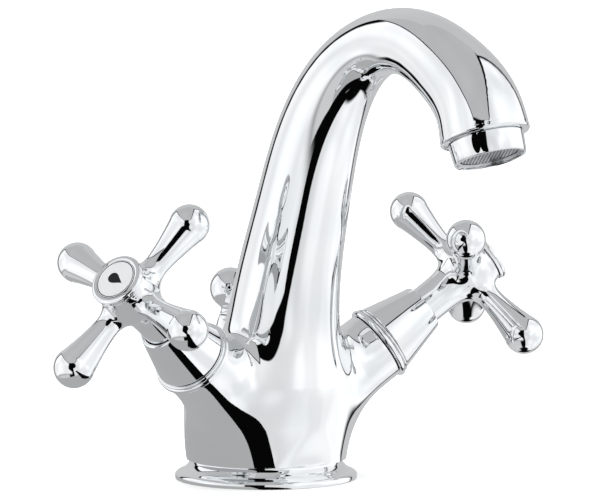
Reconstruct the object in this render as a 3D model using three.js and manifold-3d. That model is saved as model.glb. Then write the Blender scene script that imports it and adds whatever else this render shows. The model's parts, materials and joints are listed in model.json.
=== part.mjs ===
// A two-handle basin mixer with a fixed swan-neck spout, two cross handles, a pop-up waste knob
// and an aerator.
//
// Frame: millimetres, +Z up. The origin is the centre of the base flange's flat underside.
// The spout reaches towards -Y. The hot valve is on the -X side and the cold valve on the +X side.
// Each valve is drawn upright in a frame of its own, whose Z axis is the valve's axis,
// and is then leaned into place.
import * as THREE from "three";
import { mergeVertices } from "three/addons/utils/BufferGeometryUtils.js";
import Module from "manifold-3d";

const wasm = await Module();
wasm.setup();

// ---------------------------------------------------------------- driving dimensions

const GAP = 0.3; // clearance between two pieces that meet
const PROUD = 1; // how far a cutting tool runs past the face that it opens
const TOOL_REACH = 4; // how many times longer than its piece a slotting tool is

const BASE = {
  radius: 30,
  edge: 0.7,
  rimHeight: 2.4,
  flare: 5, // how far the flange reaches past the waist
  waistHeight: 6.4,
  bellySwell: 0.4,
  bellyHeight: 20,
  shoulderTaper: 4,
  shoulderHeight: 40,
  shoulderRound: 5,
  crownHeight: 47,
};
const BASE_SEAL = { inset: 2.2, width: 2.6, height: 2.1, standoff: 0.1 };

const AERATOR = {
  threadRadius: 11.2,
  threadLength: 8,
  rimStep: 0.8, // how far the rim stands out past the thread
  rimLength: 6.6,
  rimTaper: 1.2,
  wall: 1.8,
  lip: 0.8,
  lipHeight: 1,
};
const OUTLET = { wall: 2.7, taper: 0.6, neck: 1.7 }; // the taper and the neck are how much slimmer it is further up
const outletSocketRadius = AERATOR.threadRadius + GAP;
const outletRadius = outletSocketRadius + OUTLET.wall;

// The spout's centre line at x = 0, from inside the body to the outlet, with its outer radius at each point.
const SPOUT_LINE = [
  { y: -8, z: 34, radius: 20.5 },
  { y: -11, z: 60, radius: 17.8 },
  { y: -20, z: 91, radius: 15.4 },
  { y: -29.5, z: 116, radius: 13.8 },
  { y: -44.5, z: 135.8, radius: 11.7 },
  { y: -64, z: 145.6, radius: 10.3 },
  { y: -82, z: 145.2, radius: 11.2 },
  { y: -99, z: 137.8, radius: outletRadius - OUTLET.neck },
  { y: -111.9, z: 126.2, radius: outletRadius - OUTLET.taper },
  { y: -115.1, z: 117.9, radius: outletRadius },
];
const SPOUT_WALL = 3.2;
const SPOUT_CORE_START = 0.07; // where the cored waterway begins, as a fraction of the centre line

const VALVE = { apexHeight: 14.6, tilt: 54.1, fan: 17.1, armLength: 47.4, armWall: 1.9, pocketDepth: 20.4 };
const ARM = { rootRadius: 21, rootAt: 10, waistAt: 42 };
const COLLAR = { thickness: 3, overhang: 1 };
const SLEEVE = { length: 17.5, inset: 0.2, wall: 1.2, neckEntry: 4, mouthDepth: 2.4, lip: 0.6 };

const SPINDLE = {
  radius: 4.5,
  splineRadius: 3.9,
  driverInset: 2.4, // how far inside the cartridge's thread the driver runs
  driverLength: 2.5,
  tangWidth: 2,
  tangHeight: 1,
  screwDepth: 9,
};
const SPINDLE_SEAL = { section: 0.5, setBack: 6 };
const CIRCLIP = { thickness: 0.8, width: 2.1, opening: 70, grooveDepth: 0.7 };
const CARTRIDGE = {
  threadRadius: 8.3,
  skirtWall: 1.2,
  hexMargin: 1.3,
  hexLength: 5,
  collarWall: 2.8,
  collarLength: 7.3,
  windowWidth: 6,
  windowHeight: 4.6,
};
const DISC = { thickness: 2.8, portInner: 1.3, portRim: 1.3, portAngle: 80 };
const SEAT_SEAL = { thickness: 2.6, width: 2.3 };
const BONNET_SEAL = { section: 0.7, seat: 0.2 };

const HUB = {
  standoff: 18.7, // from the sleeve's end to the plane of the four arms
  neckWall: 2.3,
  bellRadius: 8.7,
  waistBelow: 13.5,
  bellBelow: 2,
  bellSwell: 0.4,
  topRadius: 8.3,
  topAbove: 7.6,
  topStraight: 2,
  webBelow: 2,
  webAbove: 1.5,
  recessRadius: 6,
};
const HANDLE_ARM = {
  count: 4,
  ballRadius: 6.6,
  ballAt: 29.25,
  meetAngle: -22, // where the neck runs into the ball, from the ball's equator
  neckRadius: 4,
  neckAt: 13,
  neckLength: 5,
  neckSwell: 0.2,
  rootRadius: 5.6,
  rootInside: 3,
};
const CLOCKING = { hot: 68.6, cold: 56 }; // how far each cross is turned when its valve is closed, in degrees
const SCREW = { radius: 1.6, length: 9, headRadius: 3.6, headHeight: 2.4, slotWidth: 1 };
const CAP = { radius: 9, thickness: 2.4, edge: 0.8, plugDepth: 2.4 };
const INLAY = { radius: 6.9, thickness: 0.6 };

const FLAT_SEAL = { thickness: 2, width: 2.8 };
const FLOW_FORMER = {
  thickness: 5,
  holes: 8,
  holeRadius: 1.1,
  ringRadius: 5.8,
  coneRadius: 3.4,
  coneHeight: 3,
};
const SCREEN = { thickness: 0.6, pitch: 2.7, hole: 1.9, rim: 0.9 };

const ROD = { insideWaist: 5, radius: 2, bottom: 0.6 };
const ROD_GUIDE = {
  wall: 0.7,
  bossWall: 1.1,
  bossHeight: 52.5,
  bushLength: 8,
  sealHeight: 1.6,
  flare: 8,
  flareHeight: 42,
  flareDepth: 6,
  flareRound: 2,
};
const KNOB = { radius: 7, centreAbove: 8.7, neckRadius: 3.4, socketDepth: 7 };

const INLET = { radius: 4.6, x: 10.2, y: -3, depth: 12, channelRadius: 3 };
const MIX_CHANNEL_RADIUS = 2.8;
const STUD = { radius: 3.4, y: -15.5, depth: 14 };

// How finely round shapes are faceted.
const ROUND = { body: 32, spout: 20, core: 12, valve: 16, arm: 10, small: 10, seal: 6 };
const SPOUT_STEPS = 22;
const CURVE_STEPS = 3;
const PLATE_STEPS = 6;
const HEXAGON = 6;

// ---------------------------------------------------------------- radii of the base

const waistRadius = BASE.radius - BASE.flare;
const bellyRadius = waistRadius + BASE.bellySwell;
const shoulderRadius = waistRadius - BASE.shoulderTaper;

// ---------------------------------------------------------------- stations along the valve axis

const armFace = VALVE.armLength;
const pocketFloor = armFace - VALVE.pocketDepth;
const sealStart = pocketFloor + GAP;
const fixedDiscStart = sealStart + SEAT_SEAL.thickness + GAP;
const movingDiscStart = fixedDiscStart + DISC.thickness + GAP;
const driverStart = movingDiscStart + DISC.thickness + GAP;
const glandStart = driverStart + SPINDLE.driverLength + GAP;
const collarStart = armFace + GAP;
const collarEnd = collarStart + COLLAR.thickness;
const hexEnd = collarStart + CARTRIDGE.hexLength;
const cartridgeEnd = hexEnd + CARTRIDGE.collarLength;
const circlipStart = cartridgeEnd + GAP;
const circlipEnd = circlipStart + CIRCLIP.thickness;
const sleeveStart = collarEnd + GAP;
const sleeveEnd = sleeveStart + SLEEVE.length;
const neckStart = sleeveEnd - SLEEVE.neckEntry;
const hubCentre = sleeveEnd + HUB.standoff;
const spindleEnd = hubCentre - HUB.webBelow - GAP;
const screwSeat = hubCentre + HUB.webAbove + GAP;
const capStart = hubCentre + HUB.topAbove + GAP;
const capEnd = capStart + CAP.thickness;

// Radii of what nests in each valve's pocket, and of what covers it.
const driverRadius = CARTRIDGE.threadRadius - SPINDLE.driverInset;
const portOuter = driverRadius - DISC.portRim;
const seatSealBore = driverRadius - SEAT_SEAL.width;
const clipRadius = SPINDLE.splineRadius - CIRCLIP.grooveDepth;
const skirtBore = driverRadius + GAP;
const skirtRadius = skirtBore + CARTRIDGE.skirtWall;
const glandBore = SPINDLE.radius + GAP;
const cartridgeCollarRadius = glandBore + CARTRIDGE.collarWall;
const hexRadius = CARTRIDGE.threadRadius + CARTRIDGE.hexMargin;
const pocketRadius = CARTRIDGE.threadRadius + GAP;
const bonnetSealRadius = pocketRadius + BONNET_SEAL.section;
const sealSeatRadius = bonnetSealRadius + BONNET_SEAL.section + GAP;
const sealSeatDepth = 2 * BONNET_SEAL.section + GAP + BONNET_SEAL.seat;
const armRadius = sealSeatRadius + VALVE.armWall;
const hubBore = SPINDLE.splineRadius + GAP;
const neckRadius = hubBore + HUB.neckWall;
const sleeveMouthRadius = neckRadius + GAP;
const sleeveTopRadius = sleeveMouthRadius + SLEEVE.wall;
const sleeveBaseRadius = armRadius - SLEEVE.inset;
const sleeveWebBore = cartridgeCollarRadius + GAP;

// The rod's guide in the boss behind the spout.
const rodY = waistRadius - ROD.insideWaist;
const rodHole = ROD.radius + 2 * GAP;
const bushRadius = ROD.radius + GAP + ROD_GUIDE.wall;
const bushPocket = bushRadius + GAP;
const bossRadius = bushPocket + ROD_GUIDE.bossWall;
const bushEnd = ROD_GUIDE.bossHeight - GAP;
const bushStart = bushEnd - ROD_GUIDE.bushLength;
const rodSealEnd = bushStart - GAP;
const rodSealStart = rodSealEnd - ROD_GUIDE.sealHeight;
const knobStart = ROD_GUIDE.bossHeight + GAP;
const knobCentre = ROD_GUIDE.bossHeight + KNOB.centreAbove;

// The aerator, along the outlet's own axis from the end face of the spout.
const outletSocketDepth = AERATOR.threadLength + FLAT_SEAL.thickness + 2 * GAP;
const aeratorRimRadius = AERATOR.threadRadius + AERATOR.rimStep;
const aeratorBore = AERATOR.threadRadius - AERATOR.wall;
const aeratorEnd = GAP + AERATOR.rimLength;
const insertRadius = aeratorBore - GAP;
const screenEnd = aeratorEnd - AERATOR.lipHeight - GAP;

// ---------------------------------------------------------------- shaping helpers

const radians = THREE.MathUtils.degToRad;

// A closed geometry as a solid that can be joined and cut.
function solidFrom(geometry) {
  const bare = geometry.clone();
  bare.deleteAttribute("normal");
  bare.deleteAttribute("uv");
  const merged = mergeVertices(bare);
  return new wasm.Manifold(
    new wasm.Mesh({
      numProp: 3,
      vertProperties: merged.attributes.position.array,
      triVerts: new Uint32Array(merged.index.array),
    }),
  );
}

function geometryFrom(solid) {
  const mesh = solid.getMesh();
  const geometry = new THREE.BufferGeometry();
  geometry.setAttribute("position", new THREE.BufferAttribute(mesh.vertProperties, mesh.numProp));
  geometry.setIndex(new THREE.BufferAttribute(mesh.triVerts, 1));
  geometry.computeVertexNormals();
  return geometry;
}

const joined = (...shapes) => geometryFrom(shapes.map(solidFrom).reduce((whole, next) => whole.add(next)));

const cutFrom = (shape, ...tools) =>
  geometryFrom(tools.map(solidFrom).reduce((rest, tool) => rest.subtract(tool), solidFrom(shape)));

// A lathe shape about Z. The outline's points are (radius, height), anticlockwise round the section.
function turned(outline, sides) {
  return new THREE.LatheGeometry(outline.getPoints(CURVE_STEPS), sides).rotateX(Math.PI / 2);
}

function pathThrough(...points) {
  const path = new THREE.Path().moveTo(...points[0]);
  points.slice(1).forEach((point) => path.lineTo(...point));
  return path;
}

function disc(radius, low, high, sides) {
  return turned(pathThrough([0, low], [radius, low], [radius, high], [0, high]), sides);
}

function ring(inner, outer, low, high, sides) {
  return turned(pathThrough([inner, low], [outer, low], [outer, high], [inner, high], [inner, low]), sides);
}

// A round seal lying flat, with its section's centre at the given radius and height.
function roundSeal(radius, section, height, sides) {
  return new THREE.TorusGeometry(radius, section, ROUND.seal, sides).translate(0, 0, height);
}

// A straight round hole between two points.
function drilling(from, to, radius, sides) {
  const along = to.clone().sub(from);
  const upright = new THREE.Vector3(0, 0, 1);
  const turn = new THREE.Quaternion().setFromUnitVectors(upright, along.clone().normalize());
  return disc(radius, 0, along.length(), sides).applyQuaternion(turn).translate(...from);
}

// A flat outline made solid between two heights.
function plate(shape, low, high) {
  const options = { depth: high - low, bevelEnabled: false, curveSegments: PLATE_STEPS };
  return new THREE.ExtrudeGeometry(shape, options).translate(0, 0, low);
}

const circleShape = (radius) => new THREE.Shape().absarc(0, 0, radius, 0, 2 * Math.PI, false);

// ---------------------------------------------------------------- frames of the valves and the outlet

// The frame of one valve: Z runs outwards along its axis, and X lies level.
function valveFrame(side) {
  const tilt = radians(VALVE.tilt);
  const fan = radians(VALVE.fan);
  const level = Math.sin(tilt);
  const axis = new THREE.Vector3(side * level * Math.cos(fan), -level * Math.sin(fan), Math.cos(tilt));
  const across = new THREE.Vector3().crossVectors(axis, new THREE.Vector3(0, 0, 1)).normalize();
  const up = new THREE.Vector3().crossVectors(axis, across);
  return new THREE.Matrix4().makeBasis(across, up, axis).setPosition(0, 0, VALVE.apexHeight);
}

// The spout's line as one spline: x holds the radius, y and z the centre.
const spoutLine = new THREE.CatmullRomCurve3(SPOUT_LINE.map((p) => new THREE.Vector3(p.radius, p.y, p.z)));

function spoutDirection(share) {
  const slope = spoutLine.getTangent(share);
  return new THREE.Vector3(0, slope.y, slope.z).normalize();
}

function outletFrame() {
  const end = spoutLine.getPoint(1);
  const axis = spoutDirection(1);
  const across = new THREE.Vector3(1, 0, 0);
  const up = new THREE.Vector3().crossVectors(axis, across);
  return new THREE.Matrix4().makeBasis(across, up, axis).setPosition(0, end.y, end.z);
}

// A cylinder bent along the spout's line, as thick as the spout less a given wall.
function spoutSweep(startShare, wall, sides) {
  const shape = new THREE.CylinderGeometry(1, 1, 1, sides, SPOUT_STEPS);
  const points = shape.getAttribute("position");
  for (let i = 0; i < points.count; i++) {
    const share = startShare + (1 - startShare) * (points.getY(i) + 0.5);
    const centre = spoutLine.getPoint(share);
    const radius = centre.x - wall;
    const forward = spoutDirection(share);
    const lift = radius * points.getZ(i);
    points.setXYZ(i, radius * points.getX(i), centre.y - lift * forward.z, centre.z + lift * forward.y);
  }
  return shape;
}

// ---------------------------------------------------------------- the body casting

function baseShape() {
  const outline = pathThrough([0, 0], [BASE.radius - BASE.edge, 0], [BASE.radius, BASE.edge]);
  outline.lineTo(BASE.radius, BASE.rimHeight - BASE.edge);
  outline.lineTo(BASE.radius - BASE.edge, BASE.rimHeight);
  outline.quadraticCurveTo(waistRadius, BASE.rimHeight, waistRadius, BASE.waistHeight);
  outline.quadraticCurveTo(waistRadius, BASE.bellyHeight / 2, bellyRadius, BASE.bellyHeight);
  const turnIn = BASE.shoulderHeight - BASE.shoulderRound;
  outline.quadraticCurveTo(bellyRadius, turnIn, shoulderRadius, BASE.shoulderHeight);
  outline.quadraticCurveTo(shoulderRadius / 2, BASE.crownHeight, 0, BASE.crownHeight);
  return turned(outline, ROUND.body);
}

function armShape(frame) {
  const outline = pathThrough([0, ARM.rootAt], [ARM.rootRadius, ARM.rootAt]);
  outline.quadraticCurveTo(armRadius, (ARM.rootAt + ARM.waistAt) / 2, armRadius, ARM.waistAt);
  outline.lineTo(armRadius, armFace);
  outline.lineTo(0, armFace);
  return turned(outline, ROUND.valve).applyMatrix4(frame);
}

function rodBoss() {
  const foot = ROD_GUIDE.flareHeight;
  const low = foot - ROD_GUIDE.flareDepth;
  const round = ROD_GUIDE.flareRound;
  const outline = pathThrough([0, low], [ROD_GUIDE.flare, low], [ROD_GUIDE.flare, foot]);
  outline.quadraticCurveTo(bossRadius, foot + round, bossRadius, ROD_GUIDE.bossHeight - round);
  outline.lineTo(bossRadius, ROD_GUIDE.bossHeight);
  outline.lineTo(0, ROD_GUIDE.bossHeight);
  return turned(outline, ROUND.valve).translate(0, rodY, 0);
}

// The pocket of one valve, with the supply and the mixing channel that meet it.
function valveWaterways(frame, side) {
  const onAxis = (distance) => new THREE.Vector3(0, 0, distance).applyMatrix4(frame);
  const coreStart = spoutLine.getPoint(SPOUT_CORE_START);
  const mixPoint = new THREE.Vector3(0, coreStart.y, coreStart.z + PROUD);
  const inletTop = new THREE.Vector3(side * INLET.x, INLET.y, INLET.depth - PROUD);
  return [
    disc(pocketRadius, pocketFloor, armFace + PROUD, ROUND.valve).applyMatrix4(frame),
    disc(sealSeatRadius, armFace - sealSeatDepth, armFace + PROUD, ROUND.valve).applyMatrix4(frame),
    disc(INLET.radius, -PROUD, INLET.depth, ROUND.small).translate(side * INLET.x, INLET.y, 0),
    drilling(inletTop, onAxis(pocketFloor + PROUD), INLET.channelRadius, ROUND.small),
    drilling(onAxis(movingDiscStart), mixPoint, MIX_CHANNEL_RADIUS, ROUND.small),
  ];
}

function baseSealSeat() {
  const outer = BASE.radius - BASE_SEAL.inset + GAP;
  const inner = outer - BASE_SEAL.width - 2 * GAP;
  return ring(inner, outer, -PROUD, BASE_SEAL.standoff + BASE_SEAL.height + GAP, ROUND.body);
}

function bodyCasting() {
  const hotFrame = valveFrame(-1);
  const coldFrame = valveFrame(1);
  const arms = [armShape(hotFrame), armShape(coldFrame)];
  const outside = joined(baseShape(), ...arms, rodBoss(), spoutSweep(0, 0, ROUND.spout));
  const rodTop = ROD_GUIDE.bossHeight + PROUD;
  return cutFrom(
    outside,
    ...valveWaterways(hotFrame, -1),
    ...valveWaterways(coldFrame, 1),
    spoutSweep(SPOUT_CORE_START, SPOUT_WALL, ROUND.core),
    disc(outletSocketRadius, -outletSocketDepth, PROUD, ROUND.valve).applyMatrix4(outletFrame()),
    disc(rodHole, -PROUD, rodTop, ROUND.small).translate(0, rodY, 0),
    disc(bushPocket, rodSealStart - GAP, rodTop, ROUND.small).translate(0, rodY, 0),
    disc(STUD.radius, -PROUD, STUD.depth, ROUND.small).translate(0, STUD.y, 0),
    baseSealSeat(),
  );
}

function baseSeal() {
  const outer = BASE.radius - BASE_SEAL.inset;
  const top = BASE_SEAL.standoff + BASE_SEAL.height;
  return ring(outer - BASE_SEAL.width, outer, BASE_SEAL.standoff, top, ROUND.body);
}

// ---------------------------------------------------------------- what stays still on each valve

function collarRing() {
  const inner = hexRadius + GAP;
  const outer = armRadius + COLLAR.overhang;
  const bead = COLLAR.thickness / 2;
  const outline = pathThrough([inner, collarStart], [outer - bead, collarStart]);
  outline.absarc(outer - bead, collarStart + bead, bead, -Math.PI / 2, Math.PI / 2, false);
  outline.lineTo(inner, collarEnd);
  outline.lineTo(inner, collarStart);
  return turned(outline, ROUND.valve);
}

function bonnetSleeve() {
  const mouth = sleeveStart + SLEEVE.mouthDepth;
  const outline = pathThrough([sleeveBaseRadius - SLEEVE.wall, sleeveStart], [sleeveBaseRadius, sleeveStart]);
  outline.lineTo(sleeveTopRadius, sleeveEnd - SLEEVE.lip);
  outline.lineTo(sleeveTopRadius - SLEEVE.lip, sleeveEnd);
  outline.lineTo(sleeveMouthRadius, sleeveEnd);
  outline.lineTo(sleeveMouthRadius, neckStart - GAP);
  outline.lineTo(sleeveWebBore, cartridgeEnd + GAP);
  outline.lineTo(sleeveWebBore, mouth);
  outline.lineTo(sleeveBaseRadius - SLEEVE.wall, mouth);
  outline.lineTo(sleeveBaseRadius - SLEEVE.wall, sleeveStart);
  return turned(outline, ROUND.valve);
}

function cartridgeBody() {
  const tube = pathThrough([skirtBore, sealStart + GAP], [skirtRadius, sealStart + GAP]);
  tube.lineTo(skirtRadius, glandStart);
  tube.lineTo(CARTRIDGE.threadRadius, glandStart);
  tube.lineTo(CARTRIDGE.threadRadius, collarStart + PROUD);
  tube.lineTo(cartridgeCollarRadius, collarStart + PROUD);
  tube.lineTo(cartridgeCollarRadius, cartridgeEnd);
  tube.lineTo(glandBore, cartridgeEnd);
  tube.lineTo(glandBore, glandStart);
  tube.lineTo(skirtBore, glandStart);
  tube.lineTo(skirtBore, sealStart + GAP);
  const hexHole = disc(glandBore + GAP, collarStart - PROUD, hexEnd + PROUD, ROUND.valve);
  const hex = cutFrom(disc(hexRadius, collarStart, hexEnd, HEXAGON), hexHole);
  const windowMiddle = movingDiscStart + DISC.thickness;
  const length = TOOL_REACH * skirtRadius;
  const window = new THREE.BoxGeometry(CARTRIDGE.windowWidth, length, CARTRIDGE.windowHeight);
  return cutFrom(joined(turned(tube, ROUND.valve), hex), window.translate(0, 0, windowMiddle));
}

// A ceramic disc with one port on each side of its centre.
function ceramicDisc(start, turn) {
  const shape = circleShape(driverRadius);
  const half = radians(DISC.portAngle) / 2;
  for (const middle of [turn, turn + Math.PI]) {
    const port = new THREE.Path();
    port.absarc(0, 0, portOuter, middle - half, middle + half, false);
    port.absarc(0, 0, DISC.portInner, middle + half, middle - half, true);
    shape.holes.push(port);
  }
  return plate(shape, start, start + DISC.thickness);
}

const fixedDisc = () => ceramicDisc(fixedDiscStart, 0);
function seatSeal() {
  return ring(seatSealBore, driverRadius, sealStart, sealStart + SEAT_SEAL.thickness, ROUND.valve);
}

function bonnetSeal() {
  const height = armFace - BONNET_SEAL.section;
  return roundSeal(bonnetSealRadius, BONNET_SEAL.section, height, ROUND.valve);
}

// ---------------------------------------------------------------- what turns with each handle

function movingDisc() {
  const width = SPINDLE.tangWidth + 2 * GAP;
  const depth = SPINDLE.tangHeight + GAP;
  const slot = new THREE.BoxGeometry(TOOL_REACH * skirtBore, width, 2 * depth);
  const top = movingDiscStart + DISC.thickness;
  return cutFrom(ceramicDisc(movingDiscStart, Math.PI / 2), slot.translate(0, 0, top));
}

function cartridgeSpindle() {
  const driverEnd = driverStart + SPINDLE.driverLength;
  const sealAt = cartridgeEnd - SPINDLE_SEAL.setBack;
  const grooveRadius = SPINDLE.radius - 2 * SPINDLE_SEAL.section - GAP;
  const grooveHalf = SPINDLE_SEAL.section + GAP;
  const outline = pathThrough([0, driverStart], [driverRadius, driverStart]);
  outline.lineTo(driverRadius, driverEnd);
  outline.lineTo(SPINDLE.radius, driverEnd);
  outline.lineTo(SPINDLE.radius, sealAt - grooveHalf);
  outline.lineTo(grooveRadius, sealAt - grooveHalf);
  outline.lineTo(grooveRadius, sealAt + grooveHalf);
  outline.lineTo(SPINDLE.radius, sealAt + grooveHalf);
  outline.lineTo(SPINDLE.radius, circlipStart - GAP);
  outline.lineTo(clipRadius, circlipStart - GAP);
  outline.lineTo(clipRadius, circlipEnd + GAP);
  outline.lineTo(SPINDLE.splineRadius, circlipEnd + GAP);
  outline.lineTo(SPINDLE.splineRadius, spindleEnd);
  outline.lineTo(0, spindleEnd);
  const tang = new THREE.BoxGeometry(2 * SPINDLE.radius, SPINDLE.tangWidth, 2 * SPINDLE.tangHeight);
  const whole = joined(turned(outline, ROUND.valve), tang.translate(0, 0, driverStart));
  const screwHole = disc(SCREW.radius + GAP, spindleEnd - SPINDLE.screwDepth, spindleEnd + PROUD, ROUND.small);
  return cutFrom(whole, screwHole);
}

function spindleSeal() {
  const radius = SPINDLE.radius - SPINDLE_SEAL.section;
  return roundSeal(radius, SPINDLE_SEAL.section, cartridgeEnd - SPINDLE_SEAL.setBack, ROUND.valve);
}

function spindleCirclip() {
  const inner = clipRadius + GAP;
  const half = radians(CIRCLIP.opening) / 2;
  const shape = new THREE.Shape();
  shape.absarc(0, 0, inner + CIRCLIP.width, half, 2 * Math.PI - half, false);
  shape.absarc(0, 0, inner, 2 * Math.PI - half, half, true);
  return plate(shape, circlipStart, circlipEnd);
}

function handleHub() {
  const top = hubCentre + HUB.topAbove;
  const waist = hubCentre - HUB.waistBelow;
  const outline = pathThrough([0, neckStart], [neckRadius, neckStart], [neckRadius, waist]);
  outline.quadraticCurveTo(neckRadius, (waist + hubCentre) / 2, HUB.bellRadius, hubCentre - HUB.bellBelow);
  outline.quadraticCurveTo(
    HUB.bellRadius + HUB.bellSwell,
    hubCentre + HUB.bellBelow,
    HUB.topRadius,
    top - HUB.topStraight,
  );
  outline.lineTo(HUB.topRadius, top);
  outline.lineTo(0, top);
  return turned(outline, ROUND.valve);
}

// One arm of the cross: a slim neck that swells into a ball, along +Z from the hub's centre.
function handleArm() {
  const ball = HANDLE_ARM.ballRadius;
  const centre = HANDLE_ARM.ballAt;
  const tangent = radians(HANDLE_ARM.meetAngle);
  const root = HUB.bellRadius - HANDLE_ARM.rootInside;
  const swell = HANDLE_ARM.neckRadius + HANDLE_ARM.neckSwell;
  const meet = [ball * Math.cos(tangent), centre + ball * Math.sin(tangent)];
  const outline = pathThrough([0, 0], [HANDLE_ARM.rootRadius, 0], [HANDLE_ARM.rootRadius, root]);
  outline.quadraticCurveTo(HANDLE_ARM.neckRadius, HUB.bellRadius, HANDLE_ARM.neckRadius, HANDLE_ARM.neckAt);
  outline.quadraticCurveTo(swell, HANDLE_ARM.neckAt + HANDLE_ARM.neckLength, ...meet);
  outline.absarc(0, centre, ball, tangent, Math.PI / 2, false);
  return turned(outline, ROUND.arm);
}

function crossHandle() {
  const arms = [];
  for (let i = 0; i < HANDLE_ARM.count; i++) {
    const turn = (i * 2 * Math.PI) / HANDLE_ARM.count;
    arms.push(handleArm().rotateY(Math.PI / 2).rotateZ(turn).translate(0, 0, hubCentre));
  }
  return cutFrom(
    joined(handleHub(), ...arms),
    disc(hubBore, neckStart - PROUD, hubCentre - HUB.webBelow, ROUND.valve),
    disc(SCREW.radius + GAP, hubCentre - HUB.webBelow - PROUD, screwSeat, ROUND.small),
    disc(HUB.recessRadius, hubCentre + HUB.webAbove, capStart + PROUD, ROUND.valve),
  );
}

function handleScrew() {
  const headEnd = screwSeat + SCREW.headHeight;
  const outline = pathThrough([0, screwSeat - SCREW.length], [SCREW.radius, screwSeat - SCREW.length]);
  outline.lineTo(SCREW.radius, screwSeat);
  outline.lineTo(SCREW.headRadius, screwSeat);
  outline.lineTo(SCREW.headRadius, headEnd);
  outline.lineTo(0, headEnd);
  const slot = new THREE.BoxGeometry(TOOL_REACH * SCREW.headRadius, SCREW.slotWidth, SCREW.headHeight);
  return cutFrom(turned(outline, ROUND.small), slot.translate(0, 0, headEnd));
}

function indexCap() {
  const seat = INLAY.radius + GAP;
  const floor = capEnd - INLAY.thickness - GAP;
  const plugStart = capStart - CAP.plugDepth;
  const outline = pathThrough([0, plugStart], [HUB.recessRadius - GAP, plugStart], [HUB.recessRadius - GAP, capStart]);
  outline.lineTo(CAP.radius - CAP.edge / 2, capStart);
  outline.lineTo(CAP.radius, capStart + CAP.edge / 2);
  outline.lineTo(CAP.radius, capEnd - CAP.edge);
  outline.lineTo(CAP.radius - CAP.edge, capEnd);
  outline.lineTo(seat, capEnd);
  outline.lineTo(seat, floor);
  outline.lineTo(0, floor);
  return turned(outline, ROUND.valve);
}

const indexInlay = () => disc(INLAY.radius, capEnd - INLAY.thickness, capEnd, ROUND.valve);

// ---------------------------------------------------------------- the aerator, along the outlet's axis

function aeratorHousing() {
  const lipRadius = aeratorBore - AERATOR.lip;
  const outline = pathThrough([aeratorBore, -AERATOR.threadLength]);
  outline.lineTo(AERATOR.threadRadius, -AERATOR.threadLength);
  outline.lineTo(AERATOR.threadRadius, GAP);
  outline.lineTo(aeratorRimRadius, GAP);
  outline.lineTo(aeratorRimRadius - AERATOR.rimTaper, aeratorEnd);
  outline.lineTo(lipRadius, aeratorEnd);
  outline.lineTo(lipRadius, aeratorEnd - AERATOR.lipHeight);
  outline.lineTo(aeratorBore, aeratorEnd - AERATOR.lipHeight);
  outline.lineTo(aeratorBore, -AERATOR.threadLength);
  return turned(outline, ROUND.body);
}

function aeratorWasher() {
  const end = -AERATOR.threadLength - GAP;
  const outer = AERATOR.threadRadius;
  return ring(outer - FLAT_SEAL.width, outer, end - FLAT_SEAL.thickness, end, ROUND.valve);
}

// The plastic flow former: a perforated plate with a spreading cone on its upstream side.
function aeratorInsert() {
  const end = screenEnd - SCREEN.thickness - GAP;
  const start = end - FLOW_FORMER.thickness;
  const shape = circleShape(insertRadius);
  for (let i = 0; i < FLOW_FORMER.holes; i++) {
    const turn = (i * 2 * Math.PI) / FLOW_FORMER.holes;
    const x = FLOW_FORMER.ringRadius * Math.cos(turn);
    const y = FLOW_FORMER.ringRadius * Math.sin(turn);
    shape.holes.push(new THREE.Path().absarc(x, y, FLOW_FORMER.holeRadius, 0, 2 * Math.PI, true));
  }
  const tip = start - FLOW_FORMER.coneHeight;
  const foot = start + PROUD;
  const cone = turned(pathThrough([0, tip], [FLOW_FORMER.coneRadius, foot], [0, foot]), ROUND.small);
  return joined(plate(shape, start, end), cone);
}

function aeratorScreen() {
  const reach = insertRadius - SCREEN.rim;
  const count = Math.ceil(reach / SCREEN.pitch);
  const toolLength = TOOL_REACH * SCREEN.thickness;
  const holes = [];
  for (let i = -count; i <= count; i++) {
    for (let j = -count; j <= count; j++) {
      const [x, y] = [i * SCREEN.pitch, j * SCREEN.pitch];
      if (Math.hypot(Math.abs(x) + SCREEN.hole / 2, Math.abs(y) + SCREEN.hole / 2) > reach) continue;
      holes.push(new THREE.BoxGeometry(SCREEN.hole, SCREEN.hole, toolLength).translate(x, y, screenEnd));
    }
  }
  return cutFrom(disc(insertRadius, screenEnd - SCREEN.thickness, screenEnd, ROUND.valve), ...holes);
}

// ---------------------------------------------------------------- the waste knob and its rod

const rodBush = () => ring(ROD.radius + GAP, bushRadius, bushStart, bushEnd, ROUND.small);
const rodSeal = () => ring(ROD.radius + GAP / 2, bushRadius, rodSealStart, rodSealEnd, ROUND.small);
const liftRod = () => disc(ROD.radius, ROD.bottom, knobStart + KNOB.socketDepth - GAP, ROUND.small);

function liftKnob() {
  const lowest = -Math.acos(KNOB.neckRadius / KNOB.radius);
  const socket = ROD.radius + GAP;
  const outline = pathThrough([0, knobStart + KNOB.socketDepth], [socket, knobStart + KNOB.socketDepth]);
  outline.lineTo(socket, knobStart);
  outline.lineTo(KNOB.neckRadius, knobStart);
  outline.absarc(0, knobCentre, KNOB.radius, lowest, Math.PI / 2, false);
  return turned(outline, ROUND.valve);
}

// ---------------------------------------------------------------- finishes

const finish = (color, roughness, metalness) => new THREE.MeshStandardMaterial({ color, roughness, metalness });
const finishes = {
  chrome: () => finish(0xe4e6ea, 0.06, 1),
  satin: () => finish(0xd8dadd, 0.35, 0.9),
  brass: () => finish(0xc9a24f, 0.35, 1),
  steel: () => finish(0xa9acb0, 0.35, 1),
  ceramic: () => finish(0xf1efe8, 0.3, 0),
  rubber: () => finish(0x1c1c1e, 0.8, 0),
  plastic: () => finish(0xd9dcdf, 0.5, 0),
};

// ---------------------------------------------------------------- the assembly

function piece(name, geometry, finishName) {
  const mesh = new THREE.Mesh(geometry, finishes[finishName]());
  mesh.name = name;
  return mesh;
}

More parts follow.
